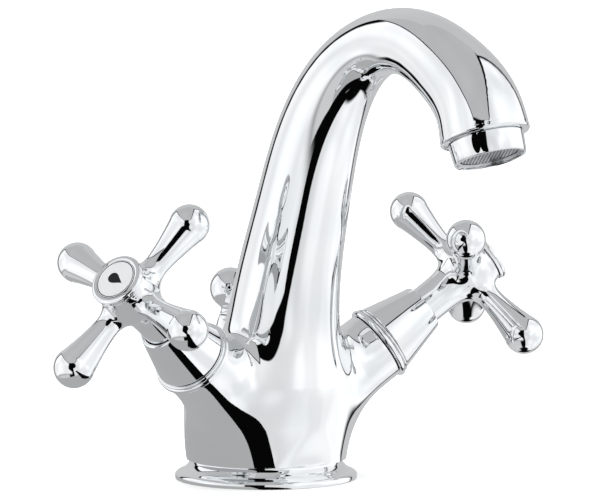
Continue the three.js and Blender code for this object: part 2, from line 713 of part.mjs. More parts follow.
function framed(frame, ...pieces) {
  const group = new THREE.Group();
  frame.decompose(group.position, group.quaternion, group.scale);
  group.add(...pieces);
  return group;
}

// One valve: the still pieces, and the turning ones in a group of their own at the cross's resting angle.
function valve(side, label) {
  const turning = new THREE.Group();
  turning.rotation.z = radians(CLOCKING[label]);
  turning.add(
    piece(`${label}_cross_handle`, crossHandle(), "chrome"),
    piece(`${label}_index_cap`, indexCap(), "chrome"),
    piece(`${label}_index_inlay`, indexInlay(), "satin"),
    piece(`${label}_handle_screw`, handleScrew(), "steel"),
    piece(`${label}_cartridge_spindle`, cartridgeSpindle(), "brass"),
    piece(`${label}_spindle_circlip`, spindleCirclip(), "steel"),
    piece(`${label}_spindle_oring`, spindleSeal(), "rubber"),
    piece(`${label}_moving_disc`, movingDisc(), "ceramic"),
  );
  return framed(
    valveFrame(side),
    turning,
    piece(`${label}_collar_ring`, collarRing(), "chrome"),
    piece(`${label}_bonnet_sleeve`, bonnetSleeve(), "chrome"),
    piece(`${label}_cartridge_body`, cartridgeBody(), "brass"),
    piece(`${label}_fixed_disc`, fixedDisc(), "ceramic"),
    piece(`${label}_seat_seal`, seatSeal(), "rubber"),
    piece(`${label}_bonnet_oring`, bonnetSeal(), "rubber"),
  );
}

function wasteControl() {
  const group = new THREE.Group();
  group.position.set(0, rodY, 0);
  group.add(
    piece("lift_knob", liftKnob(), "chrome"),
    piece("lift_rod", liftRod(), "steel"),
    piece("rod_bush", rodBush(), "plastic"),
    piece("rod_oring", rodSeal(), "rubber"),
  );
  return group;
}

const faucet = new THREE.Group();
faucet.add(
  piece("body_casting", bodyCasting(), "chrome"),
  piece("base_oring", baseSeal(), "rubber"),
  valve(-1, "hot"),
  valve(1, "cold"),
  wasteControl(),
  framed(
    outletFrame(),
    piece("aerator_housing", aeratorHousing(), "chrome"),
    piece("aerator_washer", aeratorWasher(), "rubber"),
    piece("aerator_insert", aeratorInsert(), "plastic"),
    piece("aerator_screen", aeratorScreen(), "steel"),
  ),
);

export default faucet;
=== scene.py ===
# %% [markdown]
# # A two-handle basin mixer
# The mixer is a polished chrome casting with a swan-neck spout, two cross handles on valves that lean
# outwards, a small knob that works the waste, and an aerator at the outlet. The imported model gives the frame:
# every piece below is made in its place, in the same coordinates, and rides on one of the model's bodies.

# %% The frame
import bmesh
import bpy
import json
import math
import numpy as np
from mathutils import Matrix, Vector


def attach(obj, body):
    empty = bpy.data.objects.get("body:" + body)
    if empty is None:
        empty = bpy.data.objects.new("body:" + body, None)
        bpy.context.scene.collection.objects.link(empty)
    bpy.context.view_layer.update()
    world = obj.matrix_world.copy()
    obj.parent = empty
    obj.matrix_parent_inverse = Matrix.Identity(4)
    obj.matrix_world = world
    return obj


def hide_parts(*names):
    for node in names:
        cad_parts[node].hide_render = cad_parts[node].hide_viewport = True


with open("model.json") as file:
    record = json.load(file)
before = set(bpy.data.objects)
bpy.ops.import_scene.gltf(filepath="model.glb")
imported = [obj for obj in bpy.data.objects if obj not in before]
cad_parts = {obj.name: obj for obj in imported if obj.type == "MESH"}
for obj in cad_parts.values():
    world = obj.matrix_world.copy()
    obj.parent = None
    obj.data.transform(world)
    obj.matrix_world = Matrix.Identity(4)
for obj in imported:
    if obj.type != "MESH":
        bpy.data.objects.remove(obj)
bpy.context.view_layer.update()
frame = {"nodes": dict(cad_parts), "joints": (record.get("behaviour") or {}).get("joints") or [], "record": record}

# %% [markdown]
# ## Units and the valves' own frames
# The sizes below are in millimetres, as on a workshop drawing, and a finished mesh is scaled to metres once.
# A valve leans two ways at once, so it is easiest to draw it upright and lean it afterwards. Its frame comes
# from the joint that it turns on: Z is the joint's axis, X lies level, and heights are measured from the
# point where both valves' axes cross the middle of the body.

# %% Frames
MM = 0.001
UPRIGHT = Matrix.Identity(4)
HUB_CENTRE = 87.2
joints = {joint["name"]: joint for joint in frame["joints"]}


def frame_along(axis, origin):
    """A frame whose Z runs along an axis and whose X lies level."""
    axis = Vector(axis).normalized()
    across = axis.cross(Vector((0, 0, 1))).normalized()
    basis = Matrix((across, axis.cross(across), axis)).transposed()
    return Matrix.Translation(origin) @ basis.to_4x4()


def valve_frame(label):
    joint = joints[f"{label}_valve_turn"]
    hub = Vector(joint["pos_m"]) / MM
    return frame_along(joint["axis"], hub - HUB_CENTRE * Vector(joint["axis"]))


VALVES = {"hot": valve_frame("hot"), "cold": valve_frame("cold")}
CLOCKING = {"hot": math.radians(68.6), "cold": math.radians(56)}
print("valves cross at", [round(v, 2) for v in VALVES["hot"].translation])

# %% [markdown]
# ## The camera
# A long lens from a metre and a half away keeps the perspective nearly flat. It looks slightly down, and
# from the hot side, so that one handle faces it and the other one stands in profile.

# %% Camera
CAMERA_AZIMUTH, CAMERA_ELEVATION = math.radians(-36.406), math.radians(5.024)
CAMERA_DISTANCE, CAMERA_LENS = 1.5, 273.93
TARGET = Vector((0.00902, -0.00665, 0.07531))

to_camera = Vector((
    math.sin(CAMERA_AZIMUTH) * math.cos(CAMERA_ELEVATION),
    -math.cos(CAMERA_AZIMUTH) * math.cos(CAMERA_ELEVATION),
    math.sin(CAMERA_ELEVATION),
))
camera = bpy.data.objects.new("camera", bpy.data.cameras.new("camera"))
bpy.context.collection.objects.link(camera)
camera.location = TARGET + CAMERA_DISTANCE * to_camera
camera.rotation_euler = to_camera.to_track_quat("Z", "Y").to_euler()
camera.data.lens = CAMERA_LENS
camera.data.clip_start, camera.data.clip_end = 0.1, 100
bpy.context.scene.camera = camera
print("camera at", [round(v, 3) for v in camera.location])

# %% [markdown]
# ## Shader maths
# A node tree is easier to read as arithmetic. `Value` wraps the output of a node, and adding or multiplying
# values adds the Math nodes. Every other node comes from `Nodes.add`, which takes the node's type, its
# settings and what goes into its sockets, by name or by number.

# %% Values and nodes
class Value:
    """A number or vector that varies over a surface."""

    def __init__(self, nodes, socket):
        self.nodes, self.socket = nodes, socket

    def math(self, operation, *others):
        inputs = dict(enumerate(others))
        return self.nodes.add("Math", {"operation": operation, "use_clamp": False}, inputs)

    def __add__(self, other): return self.math("ADD", self, other)
    def __radd__(self, other): return self.math("ADD", other, self)
    def __sub__(self, other): return self.math("SUBTRACT", self, other)
    def __rsub__(self, other): return self.math("SUBTRACT", other, self)
    def __mul__(self, other): return self.math("MULTIPLY", self, other)
    def __rmul__(self, other): return self.math("MULTIPLY", other, self)
    def __truediv__(self, other): return self.math("DIVIDE", self, other)
    def at_most(self, other): return self.math("MINIMUM", self, other)
    def at_least(self, other): return self.math("MAXIMUM", self, other)

    def rise(self, start, end):
        """0 below start and 1 above end, with a soft step between them."""
        settings = {"interpolation_type": "SMOOTHSTEP"}
        inputs = {"Value": self, "From Min": start, "From Max": end}
        return self.nodes.add("MapRange", settings, inputs)

    def between(self, low, high, soft):
        """1 between two values, with soft edges outside them."""
        return self.rise(low - soft, low) * (1 - self.rise(high, high + soft))


class Nodes:
    """The node tree of a material or of the world."""

    def __init__(self, owner):
        owner.use_nodes = True
        self.tree = owner.node_tree
        self.tree.nodes.clear()

    def add(self, kind, settings=None, inputs=None, output=0):
        node = self.tree.nodes.new("ShaderNode" + kind)
        for name, value in (settings or {}).items():
            setattr(node, name, value)
        for key, value in (inputs or {}).items():
            if isinstance(value, Value):
                self.tree.links.new(value.socket, node.inputs[key])
            else:
                node.inputs[key].default_value = value
        return Value(self, node.outputs[output]) if node.outputs else node

    def mix(self, factor, first, second):
        """A colour between two colours."""
        node = self.add("Mix", {"data_type": "RGBA"}, {0: factor}, 2).socket.node
        for key, value in ((6, first), (7, second)):
            if isinstance(value, Value):
                self.tree.links.new(value.socket, node.inputs[key])
            else:
                node.inputs[key].default_value = (*value, 1)
        return Value(self, node.outputs[2])

    def dot(self, vector, direction):
        inputs = {0: vector, 1: direction}
        return self.add("VectorMath", {"operation": "DOT_PRODUCT"}, inputs, "Value")


# %% [markdown]
# ## The studio
# Chrome has hardly any colour of its own: what one sees is the room. A product studio for chrome is a white
# tent: a large white panel on each side with a dark slot between them, and a grey sheet for a ceiling that
# reaches further to the left than to the right. Area lights could stand in for the panels, but a world shader
# that depends on the direction only gives the same picture without noise, and each panel is one line. The
# directions are measured in degrees: `turn` goes round to the camera's right from the camera's side, and
# `lift` goes up from level. The ceiling is flat, so its edges are shares of its height. The camera itself
# sees plain white behind the object.

# %% World
GREY, WHITE, DARK = 0.55, 1.08, 0.002
BEHIND_GREY, LOW_GREY, FLOOR_GREY = 0.62, 0.68, 0.46
ROOM_TINT = (0.985, 0.995, 1.0)
SHEET_LEFT, SHEET_RIGHT, SHEET_FRONT, SHEET_SOFT = -1.0, 0.28, 1.62, 0.02
FRAME_LEFT, FRAME_RIGHT, FRAME_FRONT = -1.07, 0.35, 1.72
FRONT_SOFT = 0.06
CLOTH_SCALE, CLOTH_DARKEST, CLOTH_RANGE = 1.6, 0.86, 0.28
bearing = Vector((to_camera.x, to_camera.y, 0)).normalized()
rightwards = Vector((-bearing.y, bearing.x, 0))


def until(value, start, end):
    """1 below start and 0 above end."""
    return 1 - value.rise(start, end)


def overhead(across, along, left, right, front):
    """A flat sheet overhead, from the left to the right and back from its front edge."""
    return across.between(left, right, SHEET_SOFT) * until(along, front, front + FRONT_SOFT)


def build_world():
    world = bpy.data.worlds.new("studio")
    bpy.context.scene.world = world
    nodes = Nodes(world)
    towards = nodes.add("TexCoord", output="Generated")
    ahead = nodes.dot(towards, bearing)
    aside = nodes.dot(towards, rightwards)
    height = nodes.dot(towards, (0, 0, 1))
    turn = aside.math("ARCTAN2", aside, ahead) * math.degrees(1)
    lift = height.math("ARCSINE", height) * math.degrees(1)
    above = height.at_least(0.02)
    across, along, up = aside / above, ahead / above, lift.rise(8, 10)

    ceiling = overhead(across, along, SHEET_LEFT, SHEET_RIGHT, SHEET_FRONT) * up
    border = overhead(across, along, FRAME_LEFT, FRAME_RIGHT, FRAME_FRONT) * up
    slot_left = -28 + 21 * until(lift, -22, 2)
    slot_right = -2 - 0.25 * lift.at_most(0)
    left_panel = turn.rise(-133, -129) * until(turn - slot_left, 0, 2) * lift.rise(-36, -22)
    right_panel = (turn - slot_right).rise(0, 2) * until(turn, 130, 138) * lift.rise(-76, -70)
    panels = (left_panel + right_panel) * (1 - border) * until(lift, 72, 76)
    behind = turn.math("ABSOLUTE", turn).rise(139, 141) * lift.rise(-60, -50) * until(lift, 60, 66)
    low_left = turn.between(-150, -26, 3) * lift.rise(-80, -70) * until(lift, -36, -22)

    cloth = nodes.add("TexNoise", inputs={"Vector": towards, "Scale": CLOTH_SCALE, "Detail": 1.0})
    from_slot = turn - slot_right
    fall_off = 0.8 + 0.2 * from_slot.math("ABSOLUTE", from_slot).rise(0, 45)
    weave = CLOTH_DARKEST + CLOTH_RANGE * cloth.rise(0.3, 0.7)
    light = DARK + panels * WHITE * fall_off * weave
    for mask, level in ((ceiling, GREY), (behind, BEHIND_GREY), (low_left, LOW_GREY)):
        light = light.at_least(mask * level * (0.9 + 0.2 * cloth))

    seen = nodes.add("LightPath", output="Is Camera Ray")
    room = nodes.add("Background", inputs={"Color": (*ROOM_TINT, 1), "Strength": light})
    backdrop = nodes.add("Background", inputs={"Color": (1, 1, 1, 1), "Strength": 1.0})
    both = nodes.add("MixShader", inputs={0: seen, 1: room, 2: backdrop})
    nodes.add("OutputWorld", inputs={"Surface": both})


build_world()
bpy.context.scene.view_settings.view_transform = "Standard"
print("world built")

# %% [markdown]
# ## Cards close to the object
# What stands close by moves in the reflections from one part of the object to the next, so it can't be part
# of the world. A few plain cards do this: a dark hood by the lens, a dark strip of floor that narrows from
# the camera to the foot, and a grey sheet on the floor to the left. Only reflections see them. The floor
# that the camera sees is a separate plane, plain and pale, lit by one broad soft sun, and reflections
# don't see it.

# %% Cards, floor and sun
def plain_material(name, colour, strength=None):
    material = bpy.data.materials.new(name)
    nodes = Nodes(material)
    if strength is None:
        shader = nodes.add("BsdfDiffuse", inputs={"Color": (*colour, 1)})
    else:
        shader = nodes.add("Emission", inputs={"Color": (*colour, 1), "Strength": strength})
    nodes.add("OutputMaterial", inputs={"Surface": shader})
    return material


def stage_sheet(name, shape, place, material):
    shape.transform(Matrix.Scale(MM, 4) @ place)
    mesh = bpy.data.meshes.new(name)
    shape.to_mesh(mesh)
    shape.free()
    item = bpy.data.objects.new(name, mesh)
    bpy.context.collection.objects.link(item)
    mesh.materials.append(material)
    return item


def round_sheet(radius, low=0, high=360, steps=72):
    """A flat sheet that covers part of a circle."""
    bm = bmesh.new()
    centre, first = bm.verts.new((0, 0, 0)), bm.verts.new((radius, 0, 0))
    bmesh.ops.rotate(bm, verts=[first], cent=(0, 0, 0), matrix=Matrix.Rotation(math.radians(low), 3, "Z"))
    line = [centre, first, bm.edges.new((centre, first))]
    bmesh.ops.spin(bm, geom=line, cent=(0, 0, 0), axis=(0, 0, 1), dvec=(0, 0, 0),
                   angle=math.radians(high - low), steps=steps)
    return bm


def square_sheet(left, right, near, far, lean=0):
    """A sheet whose near left corner leans to the right by a given distance."""
    bm = bmesh.new()
    bmesh.ops.create_grid(bm, x_segments=1, y_segments=1, size=0.5)
    bmesh.ops.scale(bm, vec=(right - left, far - near, 1), verts=bm.verts)
    bmesh.ops.translate(bm, vec=((left + right) / 2, (near + far) / 2, 0), verts=bm.verts)
    for vertex in bm.verts:
        if vertex.co.x < (left + right) / 2 and vertex.co.y < (near + far) / 2:
            vertex.co.x += lean
    return bm


# The cards' own frame: X to the camera's right and Y towards the camera, just under the floor.
ROOM = Matrix((rightwards, bearing, (0, 0, 1))).transposed().to_4x4()
UNDER = Matrix.Translation((0, 0, -1)) @ ROOM
LOWEST = UNDER @ Matrix.Translation((0, 0, -1))
HOOD_TURN, HOOD_FAR, HOOD_HEIGHT, HOOD_RADIUS = math.radians(-13), 300, 112, 62
STRIP_LEFT, STRIP_RIGHT, STRIP_NEAR, STRIP_BEND, STRIP_FAR, STRIP_LEAN = -24, 9, 20, 80, 290, 26
GREY_RADIUS, GREY_START, GREY_END = 130, 88, 270
FLOOR_HALF = 30000
hood_at = (HOOD_FAR * math.sin(HOOD_TURN), HOOD_FAR * math.cos(HOOD_TURN), HOOD_HEIGHT)
HOOD = ROOM @ Matrix.Translation(hood_at) @ Matrix.Rotation(math.pi / 2, 4, "X")
strip = square_sheet(STRIP_LEFT, STRIP_RIGHT, STRIP_BEND, STRIP_FAR)
wedge = square_sheet(STRIP_LEFT, STRIP_RIGHT, STRIP_NEAR, STRIP_BEND, STRIP_LEAN)
black = plain_material("black card", (1, 1, 1), DARK)
grey = plain_material("grey card", ROOM_TINT, FLOOR_GREY)
cards = [
    stage_sheet("lens hood", round_sheet(HOOD_RADIUS), HOOD, black),
    stage_sheet("dark strip", strip, UNDER, black),
    stage_sheet("dark wedge", wedge, UNDER, black),
    stage_sheet("grey floor", round_sheet(GREY_RADIUS, GREY_START, GREY_END), LOWEST, grey),
]
for card in cards:
    card.visible_camera = card.visible_diffuse = card.visible_shadow = False

floor = stage_sheet("floor", square_sheet(-FLOOR_HALF, FLOOR_HALF, -FLOOR_HALF, FLOOR_HALF), UPRIGHT,
                    plain_material("pale floor", (0.9, 0.9, 0.9)))
floor.visible_glossy = False
sun = bpy.data.objects.new("sun", bpy.data.lights.new("sun", "SUN"))
bpy.context.collection.objects.link(sun)
sun.data.energy, sun.data.angle = 4.0, math.radians(90)
sun.visible_glossy = False
print("stage set with", len(cards), "cards")

# %% [markdown]
# ## Turned shapes
# Nearly every piece of a mixer is turned on a lathe. An outline of (radius, height) points is drawn once and
# spun round Z with the spin operator. A step of four numbers is a curve: its first two are the point that
# bends it and its last two are where it ends. Real edges are never perfectly sharp, and chrome shows this
# as a bright line, so the sharp edges get a small bevel with the bevel operator.

# %% Lathe
def outline(start, *steps, fineness=16):
    """The points of a section: straight to a point, or by a curve bent by a point."""
    points = [Vector(start)]
    for step in steps:
        first, last = points[-1], Vector(step[-2:])
        if len(step) == 2:
            points.append(last)
            continue
        bend = Vector(step[:2])
        for i in range(1, fineness + 1):
            t = i / fineness
            points.append(first * (1 - t) ** 2 + bend * 2 * t * (1 - t) + last * t * t)
    return points


def soften(bm, width, sharp=30):
    """Rounds every edge that is sharper than an angle."""
    edges = [e for e in bm.edges if e.calc_face_angle(0) > math.radians(sharp)]
    bmesh.ops.bevel(
        bm, geom=edges, offset=width, segments=3, profile=0.5, affect="EDGES", material=-1,
        clamp_overlap=True,
    )


def turned(points, steps=96, edge=0.0, ring=False):
    """A lathe shape round Z. A ring's section is closed; any other one starts and ends on the axis."""
    bm = bmesh.new()
    corners = [bm.verts.new((p[0], 0, p[1])) for p in points]
    links = [bm.edges.new(pair) for pair in zip(corners, corners[1:])]
    if ring:
        links.append(bm.edges.new((corners[-1], corners[0])))
    bmesh.ops.spin(
        bm, geom=corners + links, cent=(0, 0, 0), axis=(0, 0, 1), dvec=(0, 0, 0),
        angle=2 * math.pi, steps=steps, use_merge=True,
    )
    bmesh.ops.remove_doubles(bm, verts=bm.verts, dist=1e-4)
    bmesh.ops.recalc_face_normals(bm, faces=bm.faces)
    if edge:
        soften(bm, edge)
    return bm


def ring(inner, outer, low, high, edge=0.0, steps=96):
    return turned([(inner, low), (outer, low), (outer, high), (inner, high)], steps, edge, ring=True)


def rod(radius, low, high, edge=0.0, steps=48):
    return turned([(0, low), (radius, low), (radius, high), (0, high)], steps, edge)


# %% [markdown]
# ## Finished pieces
# A piece is done when it has its place, its body, its slot and the model's node that it stands for. Smooth
# shading runs over the whole mesh, apart from edges sharper than an angle.

# %% Placing a piece
made = []


def piece(name, shape, place, body, slot, *nodes, sharp=38):
    """Turns a bmesh in millimetres into a piece of the mixer."""
    shape.transform(Matrix.Scale(MM, 4) @ place)
    mesh = bpy.data.meshes.new(name)
    shape.to_mesh(mesh)
    shape.free()
    mesh.shade_smooth()
    mesh.set_sharp_from_angle(angle=math.radians(sharp))
    item = bpy.data.objects.new(name, mesh)
    bpy.context.collection.objects.link(item)
    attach(item, body)
    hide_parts(*nodes)
    made.append((item, slot))
    print(f"{name}: {len(mesh.polygons)} faces")
    return item


# %% [markdown]
# ## Soft shapes that grow into each other
# The casting is one flowing skin: the arms swell out of the body, and the spout rises from it. Bevels can't
# round such joints evenly. A distance field can: each simple shape says how far a point is from it, and a
# smooth minimum of two distances melts them together. The mesh itself comes from a voxel remesh of the
# simple shapes, and then each vertex is moved until its distance is nought. A few rounds of smoothing in
# between keep the mesh even, which matters on a surface that mirrors everything.

# %% Distance fields
def turned_field(points, place=UPRIGHT):
    """How far points are from a turned solid, below nought inside it."""
    to_local = np.array(place.inverted())
    corners = np.array([tuple(p) for p in points])

    def distance(at):
        local = at @ to_local[:3, :3].T + to_local[:3, 3]
        flat = np.stack([np.hypot(local[:, 0], local[:, 1]), local[:, 2]], 1)
        nearest = np.full(len(flat), 1e9)
        inside = np.zeros(len(flat), bool)
        for start, end in zip(corners, corners[1:]):
            edge, away = end - start, flat - start
            share = np.clip(away @ edge / (edge @ edge), 0, 1)
            nearest = np.minimum(nearest, ((away - share[:, None] * edge) ** 2).sum(1))
            if start[1] != end[1]:
                crossing = start[0] + (flat[:, 1] - start[1]) * edge[0] / edge[1]
                inside ^= ((start[1] > flat[:, 1]) != (end[1] > flat[:, 1])) & (flat[:, 0] < crossing)
        return np.where(inside, -1, 1) * np.sqrt(nearest)

    return distance


def swept_field(line, stride=40, rounds=4):
    """How far points are from a round bar along a finely divided line of (x, y, z, radius)."""
    slopes = np.gradient(line, axis=0)
    coarse = line[::stride, :3]

    def along(table, spot):
        low = np.clip(spot.astype(int), 0, len(table) - 2)
        share = (spot - low)[:, None]
        return table[low] * (1 - share) + table[low + 1] * share

    def distance(at):
        apart = (at ** 2).sum(1)[:, None] - 2 * at @ coarse.T + (coarse ** 2).sum(1)
        spot = apart.argmin(1) * float(stride)
        for _ in range(rounds):
            away = at - along(line, spot)[:, :3]
            slope = along(slopes, spot)[:, :3]
            spot = np.clip(spot + (away * slope).sum(1) / (slope ** 2).sum(1), 0, len(line) - 1)
        centre = along(line, spot)
        return np.linalg.norm(at - centre[:, :3], axis=1) - centre[:, 3]

    return distance


def melted(first, second, reach):
    """Two fields with a soft joint that starts to form within a reach."""
    def distance(at):
        one, other = first(at), second(at)
        near = np.maximum(reach - np.abs(one - other), 0) / reach
        return np.minimum(one, other) - near ** 3 * reach / 6

    return distance


def settle(points, distance, rounds=2, probe=0.04):
    """Moves points onto the surface where a field is nought."""
    corners = np.array([(1, 1, 1), (1, -1, -1), (-1, 1, -1), (-1, -1, 1)])
    for _ in range(rounds):
        slope = sum(c * distance(points + probe * c)[:, None] for c in corners) / (4 * probe)
        points = points - (distance(points) / (slope ** 2).sum(1))[:, None] * slope
    return points


def grown(shapes, distance, voxel, smoothings=4):
    """One even skin from several overlapping shapes, settled onto a field."""
    raw = bpy.data.meshes.new("raw")
    whole = bmesh.new()
    for shape in shapes:
        shape.to_mesh(raw)
        whole.from_mesh(raw)
        shape.free()
    whole.to_mesh(raw)
    whole.free()
    item = bpy.data.objects.new("raw", raw)
    bpy.context.collection.objects.link(item)
    remesh = item.modifiers.new("even", "REMESH")
    remesh.mode, remesh.voxel_size, remesh.adaptivity = "VOXEL", voxel, 0
    ready = item.evaluated_get(bpy.context.evaluated_depsgraph_get())
    skin = bmesh.new()
    skin.from_mesh(ready.to_mesh())
    bpy.data.objects.remove(item)
    bpy.data.meshes.remove(raw)
    for turn in range(smoothings):
        last = turn == smoothings - 1
        points = settle(np.array([v.co for v in skin.verts]), distance, 2 if last else 1)
        for vertex, point in zip(skin.verts, points):
            vertex.co = point
        if not last:
            bmesh.ops.smooth_vert(
                skin, verts=skin.verts, factor=0.5, use_axis_x=True, use_axis_y=True, use_axis_z=True,
            )
    return skin


# %% [markdown]
# ## Machined ends
# The ends of a casting are faced off on a lathe, which leaves crisp rims where a voxel mesh would be ragged.
# Each end is cut square with the bisect operator, and the cut loop is then extruded from ring to ring: every
# new ring has an exact radius and height, and the last one is filled.

# %% Facing an end
def face_off(bm, place, at, reach, rings):
    """Cuts an end off square at a height of its own frame, and turns its rim through rings.

    Each ring is a (radius, height) pair.
    """
    inward = place.inverted()
    centre = place @ Vector((0, 0, at))
    near = [f for f in bm.faces if (f.calc_center_median() - centre).length < reach]
    geometry = near + list({e for f in near for e in f.edges}) + list({v for f in near for v in f.verts})
    cut = bmesh.ops.bisect_plane(
        bm, geom=geometry, plane_co=centre, plane_no=place.to_3x3() @ Vector((0, 0, 1)),
        clear_outer=True, dist=1e-5,
    )
    loop = [g for g in cut["geom_cut"] if isinstance(g, bmesh.types.BMEdge) and g.is_boundary]

    def set_ring(vertices, radius, height):
        for vertex in vertices:
            local = inward @ vertex.co
            flat = Vector((local.x, local.y, 0)).normalized() * radius
            vertex.co = place @ Vector((flat.x, flat.y, height))

    set_ring({v for e in loop for v in e.verts}, *rings[0])
    for radius, height in rings[1:]:
        new = bmesh.ops.extrude_edge_only(bm, edges=loop)["geom"]
        loop = [g for g in new if isinstance(g, bmesh.types.BMEdge)]
        set_ring({v for e in loop for v in e.verts}, radius, height)
    bmesh.ops.contextual_create(bm, geom=loop)
    left_open = sum(e.is_boundary for e in bm.edges)
    print(f"  end at {at}: {len(loop)} edges round, open edges left: {left_open}")


def carve(bm, *tools):
    """Takes closed tools away from a closed shape, one after another."""
    mesh = bpy.data.meshes.new("carved")
    bmesh.ops.recalc_face_normals(bm, faces=bm.faces)
    bm.to_mesh(mesh)
    bm.free()
    item = bpy.data.objects.new("carved", mesh)
    bpy.context.collection.objects.link(item)
    helpers = []
    for tool in tools:
        shape = bpy.data.meshes.new("tool")
        tool.to_mesh(shape)
        tool.free()
        helper = bpy.data.objects.new("tool", shape)
        bpy.context.collection.objects.link(helper)
        cut = item.modifiers.new("cut", "BOOLEAN")
        cut.operation, cut.object, cut.solver = "DIFFERENCE", helper, "MANIFOLD"
        helpers.append(helper)
    ready = item.evaluated_get(bpy.context.evaluated_depsgraph_get())
    result = bmesh.new()
    result.from_mesh(ready.to_mesh())
    for helper in [item, *helpers]:
        bpy.data.objects.remove(helper)
    return result


def moved(shape, place):
    shape.transform(place)
    return shape


# %% [markdown]
# ## The spout's line
# The swan neck follows one spline in the plane x = 0. It leaves the body a little forward of upright, slims
# down to the top of the arch, and swells again towards the outlet. Each point gives the centre and the
# radius there. The spline is a natural cubic one. Its curvature
# has no steps, and a mirror shows a step in curvature as a kink.

# %% Spout line
SPOUT_POINTS = [
    (-8, 34, 20.5), (-11, 60, 17.8), (-20, 91, 15.4), (-29.5, 116, 13.8), (-44.5, 135.8, 11.7),
    (-64, 145.6, 10.3), (-82, 145.2, 11.2), (-99, 137.8, 12.5), (-111.9, 126.2, 13.6), (-115.1, 117.9, 14.2),
]
SPOUT_WALL = 3.2


def spline(points, fineness=400):
    """A natural cubic spline through points of any number of coordinates."""
    points = np.array(points, float)
    gaps = np.linalg.norm(np.diff(points, axis=0), axis=1)
    slopes = np.diff(points, axis=0) / gaps[:, None]
    system, change = np.eye(len(points)), np.zeros_like(points)
    for i in range(1, len(points) - 1):
        system[i, i - 1:i + 2] = gaps[i - 1], 2 * (gaps[i - 1] + gaps[i]), gaps[i]
        change[i] = 6 * (slopes[i] - slopes[i - 1])
    bends = np.linalg.solve(system, change)
    share = np.linspace(0, 1, fineness, endpoint=False)[:, None]
    line = []
    for i, gap in enumerate(gaps):
        straight = points[i] * (1 - share) + points[i + 1] * share
        first = ((1 - share) ** 3 - (1 - share)) * bends[i]
        second = (share ** 3 - share) * bends[i + 1]
        line.append(straight + (first + second) * gap ** 2 / 6)
    return np.vstack([*line, points[-1]])


flat_line = spline(SPOUT_POINTS)
spout_line = np.column_stack([np.zeros(len(flat_line)), flat_line])
COARSE = 25
print("spout line of", len(spout_line), "points, top at z =", round(float((flat_line[:, 1]).max()), 1))

# %% [markdown]
# ## The casting
# The body, both arms, the boss of the lift rod and the spout are one casting. The body swells a little
# above its waist and closes in a low dome; the arms narrow to the size of the valves; the boss is a short
# stub behind the spout, and a soft shoulder joins the two. The shoulder stays below the face of the boss, so
# that facing the boss doesn't cut into it. They are all made as overlapping turned and swept shapes and grown
# into one skin.

# %% Parts of the casting
OUTLET = frame_along((0, -0.359511, -0.933141), (0, -115.1, 117.9))
DOWNWARDS = Matrix.Rotation(math.pi, 4, "X")
BOSS = Matrix.Translation((0, 20, 0))
SPARE = 2.4
ARM_FACE, ARM_RADIUS = 47.4, 12.2
BOSS_FACE, BOSS_RADIUS = 52.5, 4.1
WAIST_RADIUS, WAIST_CUT = 25.0, 6.2

body_section = outline(
    (0, -SPARE), (WAIST_RADIUS, -SPARE), (WAIST_RADIUS, 8), (25.0, 12, 25.4, 20),
    (25.4, 35, 21, 40), (10.5, 47, 0, 47),
)
arm_section = outline(
    (0, 10), (21, 10), (ARM_RADIUS, 26, ARM_RADIUS, 42), (ARM_RADIUS, ARM_FACE + SPARE),
    (0, ARM_FACE + SPARE),
)
boss_section = outline(
    (0, 25), (3.5, 29), (8.5, 35), (9, 40), (6, 44.5, BOSS_RADIUS, 52), (BOSS_RADIUS, BOSS_FACE + SPARE),
    (0, BOSS_FACE + SPARE),
)
SHOULDER = Matrix.Translation((0, 11, 0))
shoulder_section = outline((0, 28), (8, 32), (14, 38), (9, 44.5, 5.5, 49), (0, 49))
beyond = np.linspace(0, SPARE, 40)[1:, None] * np.array([*OUTLET.to_3x3().col[2], 0])
long_line = np.vstack([spout_line, spout_line[-1] + beyond])


def swept(line, sides=64):
    """A round bar along a line of (x, y, z, radius) that stays in the plane x = 0."""
    bm = bmesh.new()
    before = []
    for i, point in enumerate(line):
        axis = Vector((line[min(i + 1, len(line) - 1)] - line[max(i - 1, 0)])[:3]).normalized()
        across = Vector((1, 0, 0))
        basis = Matrix((across, axis.cross(across), axis)).transposed()
        circle = bmesh.ops.create_circle(
            bm, segments=sides, radius=point[3], cap_ends=i in (0, len(line) - 1),
            matrix=Matrix.Translation(point[:3]) @ basis.to_4x4(),
        )
        edges = list({e for v in circle["verts"] for e in v.link_edges})
        if before:
            bmesh.ops.bridge_loops(bm, edges=before + edges)
        before = edges
    bmesh.ops.recalc_face_normals(bm, faces=bm.faces)
    return bm


body_field = turned_field(body_section)
arm_fields = [turned_field(arm_section, place) for place in VALVES.values()]
boss_field = melted(turned_field(boss_section, BOSS), turned_field(shoulder_section, SHOULDER), 4)
bar_field = swept_field(long_line)
casting_field = melted(melted(melted(melted(
    body_field, arm_fields[0], 16), arm_fields[1], 16), boss_field, 10), bar_field, 13)

skin = grown(
    [turned(body_section), *[moved(turned(arm_section), place) for place in VALVES.values()],
     moved(turned(boss_section), BOSS), moved(turned(shoulder_section), SHOULDER),
     swept(long_line[::2 * COARSE])],
    casting_field, voxel=0.8,
)
print("casting skin:", len(skin.verts), "vertices")


# %% [markdown]
# ## Facing the casting
# The foot of the body turns out into a flange with a crease above it and a rounded rim. The arms end in
# flat faces for the valves, and the outlet has a full round lip.

# %% Facing the casting
def rounded(radius, height, rim, steps=5):
    """The rings of a round rim at a given radius and height."""
    turns = [math.pi / 2 * i / steps for i in range(steps + 1)]
    return [(radius - rim + rim * math.cos(t), height - rim + rim * math.sin(t)) for t in turns]


